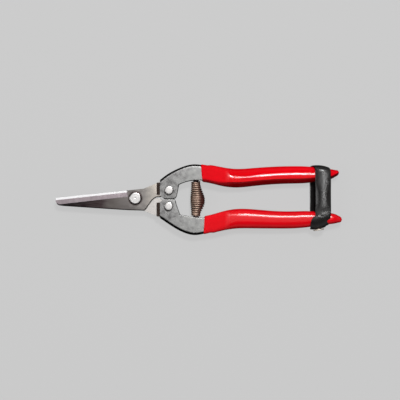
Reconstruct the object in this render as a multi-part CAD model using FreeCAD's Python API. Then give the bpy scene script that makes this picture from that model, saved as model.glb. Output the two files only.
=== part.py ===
import FreeCAD, Part
import math
import os

from FreeCAD import Placement, Rotation, Vector

# Fruit and flower snips, lying flat: X runs from the blade tip to the handle ends, Z is up.
# The blades meet in the plane Z = MID. The origin is the middle of the underside. Millimetres.

# heights, as distances from the blade plane
MID = 5.85
BLADE = 2.0
BLADE_GAP = 0.05
CAVITY = 2.15
SHEET = 1.5
FACE = CAVITY + SHEET
GRIP_HALF = 4.6
VINYL = 1.0
LEATHER = 1.05
STRAP_HALF = MID

# pivot and rivets
PIVOT = (-42.1, 0.6)
PIVOT_R = 2.5
PIVOT_FIT = 0.04
PIVOT_SEAT = BLADE_GAP + BLADE + 0.05
PIVOT_HEAD_R = 3.9
PIVOT_HEAD_H = 1.5
PIVOT_HEAD_CHAMFER = 0.5
PIVOT_RING_R = 2.3
PIVOT_RING_W = 0.3
PIVOT_RING_DEPTH = 0.12
PIVOT_MARK_R = 0.5
PIVOT_MARK_DEPTH = 0.3
PIVOT_TAIL_R = 3.5
PIVOT_WASHER_R = 4.3
PIVOT_WASHER_T = 0.4
UPPER_RIVET = (-19.7, 6.0)
LOWER_RIVET = (-19.9, -4.6)
RIVET_R = 1.6
RIVET_FIT = 0.02
RIVET_HEAD_R = 2.9
RIVET_HEAD_H = 2.1
RIVET_HEAD_ROUND = 0.9
RIVET_TAIL_R = 2.5
RIVET_TAIL_CHAMFER = 0.5
RIVET_TAIL_SIDE = 0.9
RIVET_WASHER_R = 3.4
RIVET_WASHER_T = 0.6

# pressed channel handles: the outer edge carries the web, the inner edge is open
WEB = 1.8
WEB_ROUND = 2.0
FRONT_X = -25.7
LIP = 2.2
LIP_EDGE = 0.25
UPPER_LIP = (2.9, 11.0)
LOWER_LIP = (-11.4, -2.3)
UPPER_OUTER = [(FRONT_X, 12.8), (-19.7, 17.2), (-11.8, 21.1), (-4, 23.1), (3, 22.6), (12, 21.0),
               (24, 19.2), (38, 19.9), (54, 20.8), (68, 20.9), (80, 20.0), (88.4, 18.5)]
UPPER_TIP = [(89.8, 17.6), (86.2, 14.8)]
UPPER_INNER = [(86.2, 14.8), (71.7, 11.9), (54, 11.1), (38, 9.9), (22, 8.8), (8, 11.4), (2.8, 12.4),
               (-5.1, 12.2), (-13.1, 9.6)]
UPPER_FRONT = [(-13.1, 9.6), (-14.7, 1.6), (-16.0, 0.4), (-23.2, 0.4), (FRONT_X, 2.6), (FRONT_X, 12.8)]
LOWER_OUTER = [(FRONT_X, -12.6), (-17.7, -18.0), (-9.8, -22.2), (-3, -23.8), (4, -22.8), (12, -20.8),
               (22, -18.8), (36, -18.4), (54, -18.5), (68, -18.1), (80, -16.5), (90.0, -15.0)]
LOWER_TIP = [(91.8, -13.9), (87.8, -11.0)]
LOWER_INNER = [(87.8, -11.0), (73.6, -9.0), (60, -9.1), (44, -8.4), (22, -7.8), (10, -10.7), (3, -12.2),
               (-5.8, -11.5), (-12.4, -10.3)]
LOWER_FRONT = [(-12.4, -10.3), (-14.9, -3.2), (-15.2, -1.3), (-16.4, -0.1), (-23.0, -0.1),
               (FRONT_X, -2.0), (FRONT_X, -12.6)]
UPPER_GRIP_START = [(0.8, 30), (2.8, 5)]
LOWER_GRIP_START = [(2.8, -30), (4.0, -5)]
GRIP_STATIONS = (-1, 7, 15, 24, 36, 50, 64, 76, 84)
UPPER_NOSE = [(88, 13.4, 19.95, 4.6), (91, 15.1, 19.35, 4.3), (92.5, 16.4, 18.9, 3.6),
              (93.2, 17.3, 18.4, 2.8)]
LOWER_NOSE = [(89.5, -16.35, -9.5, 4.6), (93, -15.5, -11.1, 4.3), (94.5, -14.9, -12.4, 3.6),
              (95.1, -14.4, -13.3, 2.8)]
SECTION_POINTS = 16
SECTION_POWER = 3.6

# plates between the blade tangs and the flanges
UPPER_SPACER = [(-25.4, 3.0), (-23.2, 1.4), (-16.5, 1.4), (-14.6, 11.6), (-24, 10.0), (-25.4, 9.6)]
LOWER_SPACER = [(-25.4, -2.4), (-23.0, -0.8), (-15.6, -0.8), (-14.0, -10.8), (-24, -9.8), (-25.4, -9.2)]

# blades
TIP_X = -95.1
NEAR_EDGE = [(-94.9, 0.4), (-47.5, 5.8)]
NEAR_SPINE = [(-35.9, -7.6), (-46.8, -7.3), (-62.1, -6.3), (-73.3, -5.4), (-89.2, -4.0), (-92.6, -3.6)]
FAR_EDGE = [(-94.4, -2.9), (-47.5, -5.6)]
FAR_SPINE = [(-41.5, 6.0), (-47.5, 5.5), (-94.6, 0.1)]
BEVEL = 4.1
HONE = 1.2
BEVEL_DROP = 1.45
HONE_DROP = 0.3

# return spring and its seats
SPRING_X = -2.0
SPRING_LOW = -11.45
SPRING_HIGH = 12.1
SPRING_END_GAP = 0.05
SPRING_END_R = 3.0
SPRING_MID_R = 4.8
SPRING_WIRE = 1.2
PEG_R = 1.6
PEG_L = 4.5
TENON = 4.2
TENON_L = 5.0

# strap: a leather loop round both grips, cut where it bends when it swings aside
STRAP_WIDTH = 10.4
STRAP_LEFT = 75.6
STRAP_SKEW = 0.3
STRAP_HINGE_Y = -8.6
STRAP_CUT = 0.05
STRAP_ROUND = 3.0
STRAP_TOP = [(70, 23.45), (92, 20.95)]
STRAP_BOTTOM = [(70, -20.35), (92, -17.05)]
STRAP_TONGUE_L = 7.0
STRAP_RIVET_X = 79.6
STRAP_CAP_R = 3.6
STRAP_CAP_T = 0.7
STRAP_CAP_ROUND = 0.45
STRAP_POST_R = 1.0
STRAP_FLANGE_R = 2.2
STRAP_FLANGE_T = 0.12

# how far a cutting shape reaches past what it cuts
CLEAR = 3.0
THROUGH = 9.0
BEYOND = 60.0


def points(pairs):
    return [Vector(x, y, 0) for x, y in pairs]


def curve(pairs):
    """A smooth edge through the points, in the plane Z = 0."""
    spline = Part.BSplineCurve()
    spline.interpolate(points(pairs))
    return spline.toShape()


def lines(pairs):
    """Straight edges from point to point."""
    ends = points(pairs)
    return [Part.makeLine(a, b) for a, b in zip(ends, ends[1:])]


def polygon(pairs):
    return Part.Face(Part.makePolygon(points(pairs + pairs[:1])))


def slab(face, low, high):
    """The face as a solid between two heights, which are measured from the blade plane."""
    solid = face.extrude(Vector(0, 0, high - low))
    solid.translate(Vector(0, 0, MID + low))
    return solid


def turned(profile, x, y):
    """A solid of revolution about the vertical line at x, y. The profile is (radius, height) pairs."""
    ends = [Vector(r, 0, MID + h) for r, h in profile]
    face = Part.Face(Part.makePolygon(ends + ends[:1]))
    solid = face.revolve(Vector(0, 0, 0), Vector(0, 0, 1), 360)
    solid.translate(Vector(x, y, 0))
    return solid


def disc(radius, low, high, x, y):
    return Part.makeCylinder(radius, high - low, Vector(x, y, MID + low))


def bored(solid, radius, x, y):
    """The solid with a hole right through it, parallel to Z."""
    return solid.cut(disc(radius, -THROUGH, THROUGH, x, y))


def washer(radius, bore, low, thickness, x, y):
    return bored(disc(radius, low, low + thickness, x, y), bore, x, y)


def long_edges(solid, pairs, tolerance=0.05):
    """The solid's edges that follow a curve through the points, above and below the blade plane."""
    guide = curve(pairs)
    found = []
    for edge in solid.Edges:
        span = edge.ParameterRange
        middle = edge.valueAt((span[0] + span[1]) / 2)
        flat = Part.Vertex(Vector(middle.x, middle.y, 0))
        level = abs(edge.Vertexes[0].Z - edge.Vertexes[-1].Z) < tolerance
        if level and guide.distToShape(flat)[0] < tolerance and edge.Length > 10:
            found.append(edge)
    return found


def handle_block(outer, tip, inner, front):
    """The channel's outside as a filled block, with the web's corners rounded."""
    tip_path = [outer[-1]] + tip
    edges = [curve(outer)] + lines(tip_path) + [curve(inner)] + lines(front)
    face = Part.Face(Part.Wire(Part.__sortEdges__(edges)))
    block = slab(face, -FACE, FACE)
    return block.makeFillet(WEB_ROUND, long_edges(block, outer))


def channel(block, outer, side):
    """The block hollowed from its open inner edge, so that two flanges and a web stay."""
    inside = [(x, y - side * WEB) for x, y in outer]
    (first_x, first_y), (last_x, last_y) = inside[0], inside[-1]
    reach = -side * BEYOND
    past = THROUGH
    far = [(last_x, last_y), (last_x + past, last_y), (last_x + past, reach), (first_x - past, reach),
           (first_x - past, first_y), (first_x, first_y)]
    edges = [curve(inside)] + lines(far)
    face = Part.Face(Part.Wire(Part.__sortEdges__(edges)))
    return block.cut(slab(face, -CAVITY, CAVITY))


def front_lips(span):
    """The flanges' front edges, drawn down to the blades over a length LIP, above and below."""
    y_low, y_high = span
    lips = []
    for up in (1, -1):
        corners = [(FRONT_X, CAVITY), (FRONT_X, FACE), (FRONT_X - LIP, CAVITY + LIP_EDGE),
                   (FRONT_X - LIP, CAVITY)]
        ends = [Vector(x, y_low, MID + up * z) for x, z in corners]
        face = Part.Face(Part.makePolygon(ends + ends[:1]))
        lips.append(face.extrude(Vector(0, y_high - y_low, 0)))
    return lips


def handle(block, outer, side, lip, rivet):
    """A whole pressed handle with its lips and its rivet hole."""
    pressed = channel(block, outer, side).fuse(front_lips(lip)).removeSplitter()
    return bored(pressed, RIVET_R + RIVET_FIT, *rivet)


def half_plane(start, reach):
    """A face that covers everything to the right of the line through two points."""
    (x0, y0), (x1, y1) = start
    return polygon([(x0, y0), (x0 + reach, y0), (x1 + reach, y1), (x1, y1)])


def edge_y(pairs, x):
    """The height in Y of a smooth edge at x."""
    upright = Part.makeLine(Vector(x, -BEYOND, 0), Vector(x, BEYOND, 0))
    return curve(pairs).distToShape(upright)[1][0][0].y


def rounded_section(x, y_low, y_high, half):
    """A closed section of a grip across X: a rounded box, flatter than an ellipse."""
    middle = (y_low + y_high) / 2
    width = (y_high - y_low) / 2
    ring = []
    for step in range(SECTION_POINTS):
        turn = 2 * math.pi * step / SECTION_POINTS
        side, up = math.cos(turn), math.sin(turn)
        y = math.copysign(abs(side) ** (2 / SECTION_POWER), side) * width
        z = math.copysign(abs(up) ** (2 / SECTION_POWER), up) * half
        ring.append(Vector(x, middle + y, MID + z))
    spline = Part.BSplineCurve()
    spline.interpolate(Points=ring, PeriodicFlag=True)
    return Part.Wire(spline.toShape())


def grip(block, outer, inner, nose, start):
    """The vinyl over the rear of a handle: a loft through its sections, less the channel's block."""
    sections = []
    for x in GRIP_STATIONS:
        walls = sorted((edge_y(outer, x), edge_y(inner, x)))
        sections.append(rounded_section(x, walls[0] - VINYL, walls[1] + VINYL, GRIP_HALF))
    sections += [rounded_section(*station) for station in nose]
    body = Part.makeLoft(sections, True, False)
    return body.common(slab(half_plane(start, 2 * BEYOND), -THROUGH, THROUGH)).cut(block)


def tang_rivet(x, y):
    """Low pan head above, a flat peened tail on its washer below."""
    tail = -FACE - RIVET_WASHER_T
    top = FACE + RIVET_HEAD_H
    profile = [(0, -MID), (RIVET_TAIL_R - RIVET_TAIL_CHAMFER, -MID),
               (RIVET_TAIL_R, tail - RIVET_TAIL_SIDE), (RIVET_TAIL_R, tail),
               (RIVET_R, tail), (RIVET_R, FACE),
               (RIVET_HEAD_R, FACE), (RIVET_HEAD_R, top - RIVET_HEAD_ROUND),
               (RIVET_HEAD_R - RIVET_HEAD_ROUND / 2, top - RIVET_HEAD_ROUND / 5), (0, top)]
    return turned(profile, x, y)


def pivot_rivet():
    """Shouldered pin: a flat head with a turned ring and a centre mark, and a peened tail."""
    seat = PIVOT_SEAT + PIVOT_WASHER_T
    top = seat + PIVOT_HEAD_H
    tail_side = -seat - PIVOT_HEAD_H / 2
    groove = top - PIVOT_RING_DEPTH
    ring_in = PIVOT_RING_R - PIVOT_RING_W
    slope = PIVOT_RING_W / 3
    profile = [(0, -top), (PIVOT_TAIL_R - PIVOT_HEAD_CHAMFER, -top), (PIVOT_TAIL_R, tail_side),
               (PIVOT_TAIL_R, -seat), (PIVOT_R, -seat), (PIVOT_R, seat), (PIVOT_HEAD_R, seat),
               (PIVOT_HEAD_R, top - PIVOT_HEAD_CHAMFER), (PIVOT_HEAD_R - PIVOT_HEAD_CHAMFER, top),
               (PIVOT_RING_R, top), (PIVOT_RING_R - slope, groove), (ring_in + slope, groove),
               (ring_in, top), (PIVOT_MARK_R, top), (0, top - PIVOT_MARK_DEPTH)]
    return turned(profile, *PIVOT)


def wedge(edge, width, drop, lift, far_side):
    """What grinding takes off a blade: a strip of the given width along the edge, falling by drop.
    It starts lift below the blade's face."""
    start, end = points(edge)
    along = (end - start).normalize()
    length = start.distanceToPoint(end)
    up = -1 if far_side else 1
    into = Vector(-along.y, along.x, 0) * up
    height = MID + up * (BLADE_GAP + BLADE - lift)
    rise = drop / width
    corners = [(-width, 0), (CLEAR, -up * rise * (width + CLEAR)), (CLEAR, up * CLEAR),
               (-width, up * CLEAR)]
    ends = [start - along * THROUGH + into * d + Vector(0, 0, height + h) for d, h in corners]
    face = Part.Face(Part.makePolygon(ends + ends[:1]))
    return face.extrude(along * (length + THROUGH))


def near_blade():
    """The upper blade in Z. It belongs to the upper handle and cuts with its edge on the +Y side."""
    top = NEAR_EDGE + [(-36.6, 7.0), (-27.3, 10.9), (-26.1, 11.6), (-26.1, 10.2), (-24, 10.4), (-14.6, 12.4)]
    notch = [(-28.6, 1.2), (-30.9, -0.6), (-33.6, -4.4)]
    back = [(-16.5, 1.4), (-25.9, 1.4)] + notch + NEAR_SPINE
    rounded_tip = [(-94.2, -3.0), (TIP_X, -1.2)]
    plate = slab(polygon(top + back + rounded_tip), BLADE_GAP, BLADE_GAP + BLADE)
    hone_start = BEVEL_DROP * (1 - HONE / BEVEL)
    plate = plate.cut(wedge(NEAR_EDGE, BEVEL, BEVEL_DROP, 0, False))
    plate = plate.cut(wedge(NEAR_EDGE, HONE, BEVEL_DROP - hone_start + HONE_DROP, hone_start, False))
    plate = bored(plate, PIVOT_R + PIVOT_FIT, *PIVOT)
    return bored(plate, RIVET_R + RIVET_FIT, *UPPER_RIVET)


def far_blade():
    """The lower blade in Z. It belongs to the lower handle and cuts with its edge on the -Y side."""
    nose = [(-36.5, 5.4), (-33, 3.6), (-29.5, 0.9), (-25.9, 0.6), (-24.4, -0.4), (-15.6, -0.8)]
    tang = [(-14.4, -3), (-14.0, -11.2), (-24, -10.2), (-26.1, -10.0), (-26.1, -12.2), (-28.6, -10.9),
            (-35.9, -7.9)]
    outline = nose + tang + FAR_EDGE[::-1] + FAR_SPINE[::-1]
    plate = slab(polygon(outline), -BLADE_GAP - BLADE, -BLADE_GAP)
    plate = plate.cut(wedge(FAR_EDGE, BEVEL, BEVEL_DROP, 0, True))
    plate = bored(plate, PIVOT_R + PIVOT_FIT / 2, *PIVOT)
    return bored(plate, RIVET_R + RIVET_FIT, *LOWER_RIVET)


def tang_spacer(outline, low, high, rivet):
    """The plate that fills the other blade's level inside a channel."""
    return bored(slab(polygon(outline), low, high), RIVET_R + RIVET_FIT, *rivet)


def spring_seat(y, side):
    """A peg inside the spring, on a tenon that is pinched between the flanges."""
    peg = Part.makeCylinder(PEG_R, PEG_L, Vector(SPRING_X, y, MID), Vector(0, -side, 0))
    low = y if side > 0 else y - TENON_L
    tenon = Part.makeBox(TENON, TENON_L, TENON, Vector(SPRING_X - TENON / 2, low, MID - TENON / 2))
    return tenon.fuse(peg).removeSplitter()


def spring_sleeve():
    """The room that the barrel-shaped coil takes: a wall one wire thick about its axis."""
    middle = (SPRING_LOW + SPRING_HIGH) / 2
    steps = [(SPRING_END_R, SPRING_LOW), (SPRING_MID_R, middle), (SPRING_END_R, SPRING_HIGH)]
    outside = Part.Arc(*[Vector(r, y, 0) for r, y in steps]).toShape()
    inside = Part.Arc(*[Vector(r - SPRING_WIRE, y, 0) for r, y in steps]).toShape()
    rims = [Part.makeLine(Vector(SPRING_END_R - SPRING_WIRE, y, 0), Vector(SPRING_END_R, y, 0))
            for y in (SPRING_LOW, SPRING_HIGH)]
    face = Part.Face(Part.Wire(Part.__sortEdges__([outside, inside] + rims)))
    solid = face.revolve(Vector(0, 0, 0), Vector(0, 1, 0), 360)
    solid.translate(Vector(SPRING_X, 0, MID))
    return solid


def strap_block(shrink, half, corner):
    """A rounded block whose sides follow the strap's top and bottom lines, shrunk by a distance."""
    top = [(x, y - shrink) for x, y in STRAP_TOP]
    bottom = [(x, y + shrink) for x, y in STRAP_BOTTOM]
    block = slab(polygon(top + bottom[::-1]), -half, half)
    long = [e for e in block.Edges if e.Length > 2 * half]
    rims = [e for e in long if abs(e.Vertexes[0].X - e.Vertexes[1].X) > 2 * half]
    return block.makeFillet(corner, rims)


def strap_window(y_low, y_high):
    """The slanted run of the loop along X, between two heights in Y."""
    reach = 2 * STRAP_HALF
    shift = STRAP_SKEW * reach
    corners = [(STRAP_LEFT - shift, -reach), (STRAP_LEFT - shift + STRAP_WIDTH, -reach),
               (STRAP_LEFT + shift + STRAP_WIDTH, reach), (STRAP_LEFT + shift, reach)]
    ends = [Vector(x, y_low, MID + z) for x, z in corners]
    face = Part.Face(Part.makePolygon(ends + ends[:1]))
    return face.extrude(Vector(0, y_high - y_low, 0))


def strap_bottom_at(x):
    """Where the strap's outer face is at x, on the lower handle's side."""
    (x0, y0), (x1, y1) = STRAP_BOTTOM
    return y0 + (y1 - y0) * (x - x0) / (x1 - x0)


def strap_ring():
    outside = strap_block(0, STRAP_HALF, STRAP_ROUND + LEATHER)
    inside = strap_block(LEATHER, STRAP_HALF - LEATHER, STRAP_ROUND)
    return outside.cut(inside)


def strap_parts():
    """The loop's free part, the part that stays on the lower grip, and the closing rivet's two halves."""
    ring = strap_ring()
    loop = ring.common(strap_window(STRAP_HINGE_Y + STRAP_CUT, BEYOND))
    wrap = ring.common(strap_window(-BEYOND, STRAP_HINGE_Y))
    tilt = math.atan2(STRAP_BOTTOM[1][1] - STRAP_BOTTOM[0][1], STRAP_BOTTOM[1][0] - STRAP_BOTTOM[0][0])
    start = Vector(STRAP_RIVET_X, strap_bottom_at(STRAP_RIVET_X), MID)
    down = Vector(math.sin(tilt), -math.cos(tilt), 0)
    corner = Vector(-STRAP_WIDTH / 2, -LEATHER, -STRAP_TONGUE_L / 2)
    tongue = Part.makeBox(STRAP_WIDTH, LEATHER, STRAP_TONGUE_L, corner)
    tongue.Placement = Placement(start, Rotation(Vector(0, 0, 1), math.degrees(tilt)))
    hole = Part.makeCylinder(STRAP_POST_R + RIVET_FIT, 2 * CLEAR, start - down * CLEAR, down)
    wrap = wrap.fuse(tongue).removeSplitter().cut(hole)
    cap = Part.makeCylinder(STRAP_CAP_R, STRAP_CAP_T, start + down * LEATHER, down)
    rims = [e for e in cap.Edges if e.isClosed()]
    outer_rim = max(rims, key=lambda e: e.CenterOfMass.distanceToPoint(start))
    cap = cap.makeFillet(STRAP_CAP_ROUND, [outer_rim])
    post = Part.makeCylinder(STRAP_POST_R, 2 * LEATHER, start - down * LEATHER, down)
    inner_face = start - down * (LEATHER + STRAP_FLANGE_T)
    flange = Part.makeCylinder(STRAP_FLANGE_R, STRAP_FLANGE_T, inner_face, down)
    return loop, wrap, cap, post.fuse(flange).removeSplitter()


def build():
    upper_block = handle_block(UPPER_OUTER, UPPER_TIP, UPPER_INNER, UPPER_FRONT)
    lower_block = handle_block(LOWER_OUTER, LOWER_TIP, LOWER_INNER, LOWER_FRONT)
    pivot_bore = PIVOT_R + PIVOT_FIT / 2
    rivet_bore = RIVET_R + RIVET_FIT
    pivot_low = -PIVOT_SEAT - PIVOT_WASHER_T
    rivet_low = -FACE - RIVET_WASHER_T
    loop, wrap, cap, post = strap_parts()
    return {
        "near_blade": near_blade(),
        "far_blade": far_blade(),
        "pivot_rivet": pivot_rivet(),
        "pivot_head_washer": washer(PIVOT_WASHER_R, pivot_bore, PIVOT_SEAT, PIVOT_WASHER_T, *PIVOT),
        "pivot_tail_washer": washer(PIVOT_WASHER_R, pivot_bore, pivot_low, PIVOT_WASHER_T, *PIVOT),
        "upper_handle": handle(upper_block, UPPER_OUTER, 1, UPPER_LIP, UPPER_RIVET),
        "lower_handle": handle(lower_block, LOWER_OUTER, -1, LOWER_LIP, LOWER_RIVET),
        "upper_tang_spacer": tang_spacer(UPPER_SPACER, -BLADE - BLADE_GAP, 0, UPPER_RIVET),
        "lower_tang_spacer": tang_spacer(LOWER_SPACER, 0, BLADE + BLADE_GAP, LOWER_RIVET),
        "upper_tang_rivet": tang_rivet(*UPPER_RIVET),
        "lower_tang_rivet": tang_rivet(*LOWER_RIVET),
        "upper_rivet_washer": washer(RIVET_WASHER_R, rivet_bore, rivet_low, RIVET_WASHER_T, *UPPER_RIVET),
        "lower_rivet_washer": washer(RIVET_WASHER_R, rivet_bore, rivet_low, RIVET_WASHER_T, *LOWER_RIVET),
        "upper_grip": grip(upper_block, UPPER_OUTER, UPPER_INNER, UPPER_NOSE, UPPER_GRIP_START),
        "lower_grip": grip(lower_block, LOWER_OUTER, LOWER_INNER, LOWER_NOSE, LOWER_GRIP_START),
        "return_spring": spring_sleeve(),
        "upper_spring_seat": spring_seat(SPRING_HIGH + SPRING_END_GAP, 1),
        "lower_spring_seat": spring_seat(SPRING_LOW - SPRING_END_GAP, -1),
        "strap_loop": loop,
        "strap_wrap": wrap,
        "strap_rivet_cap": cap,
        "strap_rivet_post": post,
    }


os.makedirs("parts", exist_ok=True)
for name, shape in build().items():
    box = shape.optimalBoundingBox()
    low = [round(v, 2) for v in (box.XMin, box.YMin, box.ZMin)]
    high = [round(v, 2) for v in (box.XMax, box.YMax, box.ZMax)]
    print(name, "valid" if shape.isValid() else "NOT VALID", len(shape.Solids), low, high)
    shape.exportStep(f"parts/{name}.step")
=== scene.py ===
"""Fruit and flower snips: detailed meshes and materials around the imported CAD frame. Metres, Z up."""
import bmesh
import bpy
import math
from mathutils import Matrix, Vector
from mathutils.bvhtree import BVHTree


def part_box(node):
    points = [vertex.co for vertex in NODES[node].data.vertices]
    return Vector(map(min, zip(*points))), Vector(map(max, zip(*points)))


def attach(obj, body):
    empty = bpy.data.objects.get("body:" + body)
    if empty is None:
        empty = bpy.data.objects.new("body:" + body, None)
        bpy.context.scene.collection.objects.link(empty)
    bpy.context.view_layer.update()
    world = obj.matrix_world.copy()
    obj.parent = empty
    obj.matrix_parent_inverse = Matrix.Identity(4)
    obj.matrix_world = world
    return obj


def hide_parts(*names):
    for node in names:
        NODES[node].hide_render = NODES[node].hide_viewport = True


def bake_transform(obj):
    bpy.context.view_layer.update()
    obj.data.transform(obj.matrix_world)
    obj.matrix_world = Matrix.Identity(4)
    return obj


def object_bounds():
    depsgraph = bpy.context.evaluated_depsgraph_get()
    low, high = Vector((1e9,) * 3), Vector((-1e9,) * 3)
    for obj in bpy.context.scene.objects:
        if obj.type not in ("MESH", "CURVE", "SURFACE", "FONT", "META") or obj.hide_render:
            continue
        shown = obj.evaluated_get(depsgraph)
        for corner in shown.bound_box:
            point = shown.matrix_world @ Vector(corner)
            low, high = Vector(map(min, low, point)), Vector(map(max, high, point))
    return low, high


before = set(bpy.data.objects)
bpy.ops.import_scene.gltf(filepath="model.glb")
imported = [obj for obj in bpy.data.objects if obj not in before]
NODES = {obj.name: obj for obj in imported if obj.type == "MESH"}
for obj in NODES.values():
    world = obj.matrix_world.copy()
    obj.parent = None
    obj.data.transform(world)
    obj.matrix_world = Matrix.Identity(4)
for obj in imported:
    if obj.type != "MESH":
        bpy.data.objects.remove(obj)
CAD_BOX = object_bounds()
MM = 0.001
PIVOT_LOW, PIVOT_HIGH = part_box("pivot_rivet")
MID = PIVOT_LOW.z + (PIVOT_HIGH.z - PIVOT_LOW.z) / 2  # the plane between the blades


# ---------------------------------------------------------------- materials

SHADE_LEAN = 0.10                       # how much +Y, the lamps' side, counts in how far a face looks up, for the painted edge shade
BLADE_X = (-95 * MM, -25 * MM)    # the near blade's colours run between these
PIVOT_SHADE_R = (4.1 * MM, 5.3 * MM)    # the painted shadow ring round the pivot head fades out between these radii
METAL_RIM_SHADE = (0.93, 0.985)         # facing: the near blade's edges get painted shade below the first
SHEET_RIM_SHADE = (0.92, 0.985)         # the same for the handles
SHEET_SHEEN_X = (-22 * MM, 3 * MM)      # the handles' sheet gets paler between these: a painted reflection
SATIN_X = (17 * MM, 21 * MM)      # the grips are satin ahead of the first and glossy behind the second
SATIN = 0.75                      # roughness added in the satin part
PAINTED_SHADE_Y = (-0.38, -0.12)         # normal's Y: painted shade darkens the grips' -Y side below the first
WIRE_SHADE_X = (-0.5 * MM, 1.6 * MM)    # painted shade darkens the spring between these
WIRE_SHADE_SHARE = 0.85                  # how far the painted shade takes it towards its dark red colour
# near black: the painted shade on the handles' round edges
RIM_SHADE_BLACK = (0.006, 0.006, 0.006)


class Shader:
    """One procedural material, with short calls for the nodes that it is built from."""

    def __init__(self, name, **inputs):
        """inputs are values for the shader's own sockets, with _ for a space in a socket's name."""
        self.material = bpy.data.materials.new(name)
        self.material.use_nodes = True
        self.tree = self.material.node_tree
        self.bsdf = self.tree.nodes["Principled BSDF"]
        for key, value in inputs.items():
            self.bsdf.inputs[key.replace("_", " ")].default_value = value

    def node(self, kind, **settings):
        made = self.tree.nodes.new(kind)
        for key, value in settings.items():
            setattr(made, key, value)
        return made

    def link(self, a, b):
        self.tree.links.new(a, b)

    def place(self, stretch=(1, 1, 1)):
        """Object coordinates in metres, stretched."""
        coords = self.node("ShaderNodeTexCoord")
        mapping = self.node("ShaderNodeMapping")
        mapping.inputs["Scale"].default_value = stretch
        self.link(coords.outputs["Object"], mapping.inputs["Vector"])
        return mapping.outputs["Vector"]

    def noise(self, size, stretch=(1, 1, 1), detail=3.0, rough=0.5):
        """Noise whose lumps are about size metres across."""
        made = self.node("ShaderNodeTexNoise")
        made.inputs["Scale"].default_value = 1 / size
        made.inputs["Detail"].default_value = detail
        made.inputs["Roughness"].default_value = rough
        self.link(self.place(stretch), made.inputs["Vector"])
        return made.outputs["Fac"]

    def ranged(self, value, low, high, to_low, to_high):
        """A value between low and high, brought to the range from to_low to to_high."""
        made = self.node("ShaderNodeMapRange")
        for key, number in (("From Min", low), ("From Max", high), ("To Min", to_low), ("To Max", to_high)):
            made.inputs[key].default_value = number
        self.link(value, made.inputs["Value"])
        return made.outputs["Result"]

    def spread(self, noise, to_low, to_high):
        """Noise, which mostly lies between 0.3 and 0.7, brought to a range."""
        return self.ranged(noise, 0.3, 0.7, to_low, to_high)

    def math(self, operation, a, b=0):
        made = self.node("ShaderNodeMath", operation=operation)
        for socket, value in zip(made.inputs, (a, b)):
            if isinstance(value, (int, float)):
                socket.default_value = value
            else:
                self.link(value, socket)
        return made.outputs[0]

    def near_axis(self, box, inner, outer):
        """0 within inner of the upright line through the middle of a box, 1 beyond outer."""
        middle = (box[0] + box[1]) / 2
        across = self.math("SUBTRACT", self.axis("X"), middle.x)
        along = self.math("SUBTRACT", self.axis("Y"), middle.y)
        square = self.math("ADD", self.math("MULTIPLY", across, across), self.math("MULTIPLY", along, along))
        return self.ranged(self.math("SQRT", square), inner, outer, 0, 1)

    def axis(self, letter):
        """One object coordinate, in metres."""
        made = self.node("ShaderNodeSeparateXYZ")
        self.link(self.place(), made.inputs[0])
        return made.outputs[letter]

    def ramp(self, value, *stops):
        """Colour stops as (position, (r, g, b))."""
        made = self.node("ShaderNodeValToRGB")
        ramp = made.color_ramp
        while len(ramp.elements) < len(stops):
            ramp.elements.new(0.5)
        for element, (position, color) in zip(ramp.elements, stops):
            element.position = position
            element.color = (*color, 1)
        self.link(value, made.inputs["Fac"])
        return made.outputs["Color"]

    def mixed(self, factor, a, b, kind="MIX"):
        """Colour a where the factor is 0, and b, or a times b, where it is 1."""
        made = self.node("ShaderNodeMix", data_type="RGBA", blend_type=kind)
        for socket, value in ((made.inputs[0], factor), (made.inputs[6], a), (made.inputs[7], b)):
            if isinstance(value, (int, float)):
                socket.default_value = value
            elif isinstance(value, tuple):
                socket.default_value = (*value, 1)
            else:
                self.link(value, socket)
        return made.outputs[2]

    def normal(self, letter):
        """One part of the object's own surface normal."""
        coords = self.node("ShaderNodeTexCoord")
        parts = self.node("ShaderNodeSeparateXYZ")
        self.link(coords.outputs["Normal"], parts.inputs[0])
        return parts.outputs[letter]

    def facing(self):
        """How far the surface faces up or down, leaning a little to +Y, the lamps' side. It is 1 on a level
        face.
        """
        upward = self.math("ABSOLUTE", self.normal("Z"))
        return self.math("ADD", upward, self.math("MULTIPLY", self.normal("Y"), SHADE_LEAN))

    def edge_shaded(self, color, dark, low=0.80, high=0.92):
        """The colour, going to dark where the surface turns over at an edge: painted shade, lighter on edges
        facing +Y.
        """
        return self.mixed(self.ranged(self.facing(), low, high, 0, 1), dark, color)

    def color(self, value):
        self.link(value, self.bsdf.inputs["Base Color"])

    def roughness(self, value):
        self.link(value, self.bsdf.inputs["Roughness"])

    def bump(self, value, depth):
        """Relief of depth metres, added to any relief that the material has already."""
        made = self.node("ShaderNodeBump")
        made.inputs["Distance"].default_value = depth
        self.link(value, made.inputs["Height"])
        normal = self.bsdf.inputs["Normal"]
        if normal.is_linked:
            self.link(normal.links[0].from_socket, made.inputs["Normal"])
        self.link(made.outputs["Normal"], normal)


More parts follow.
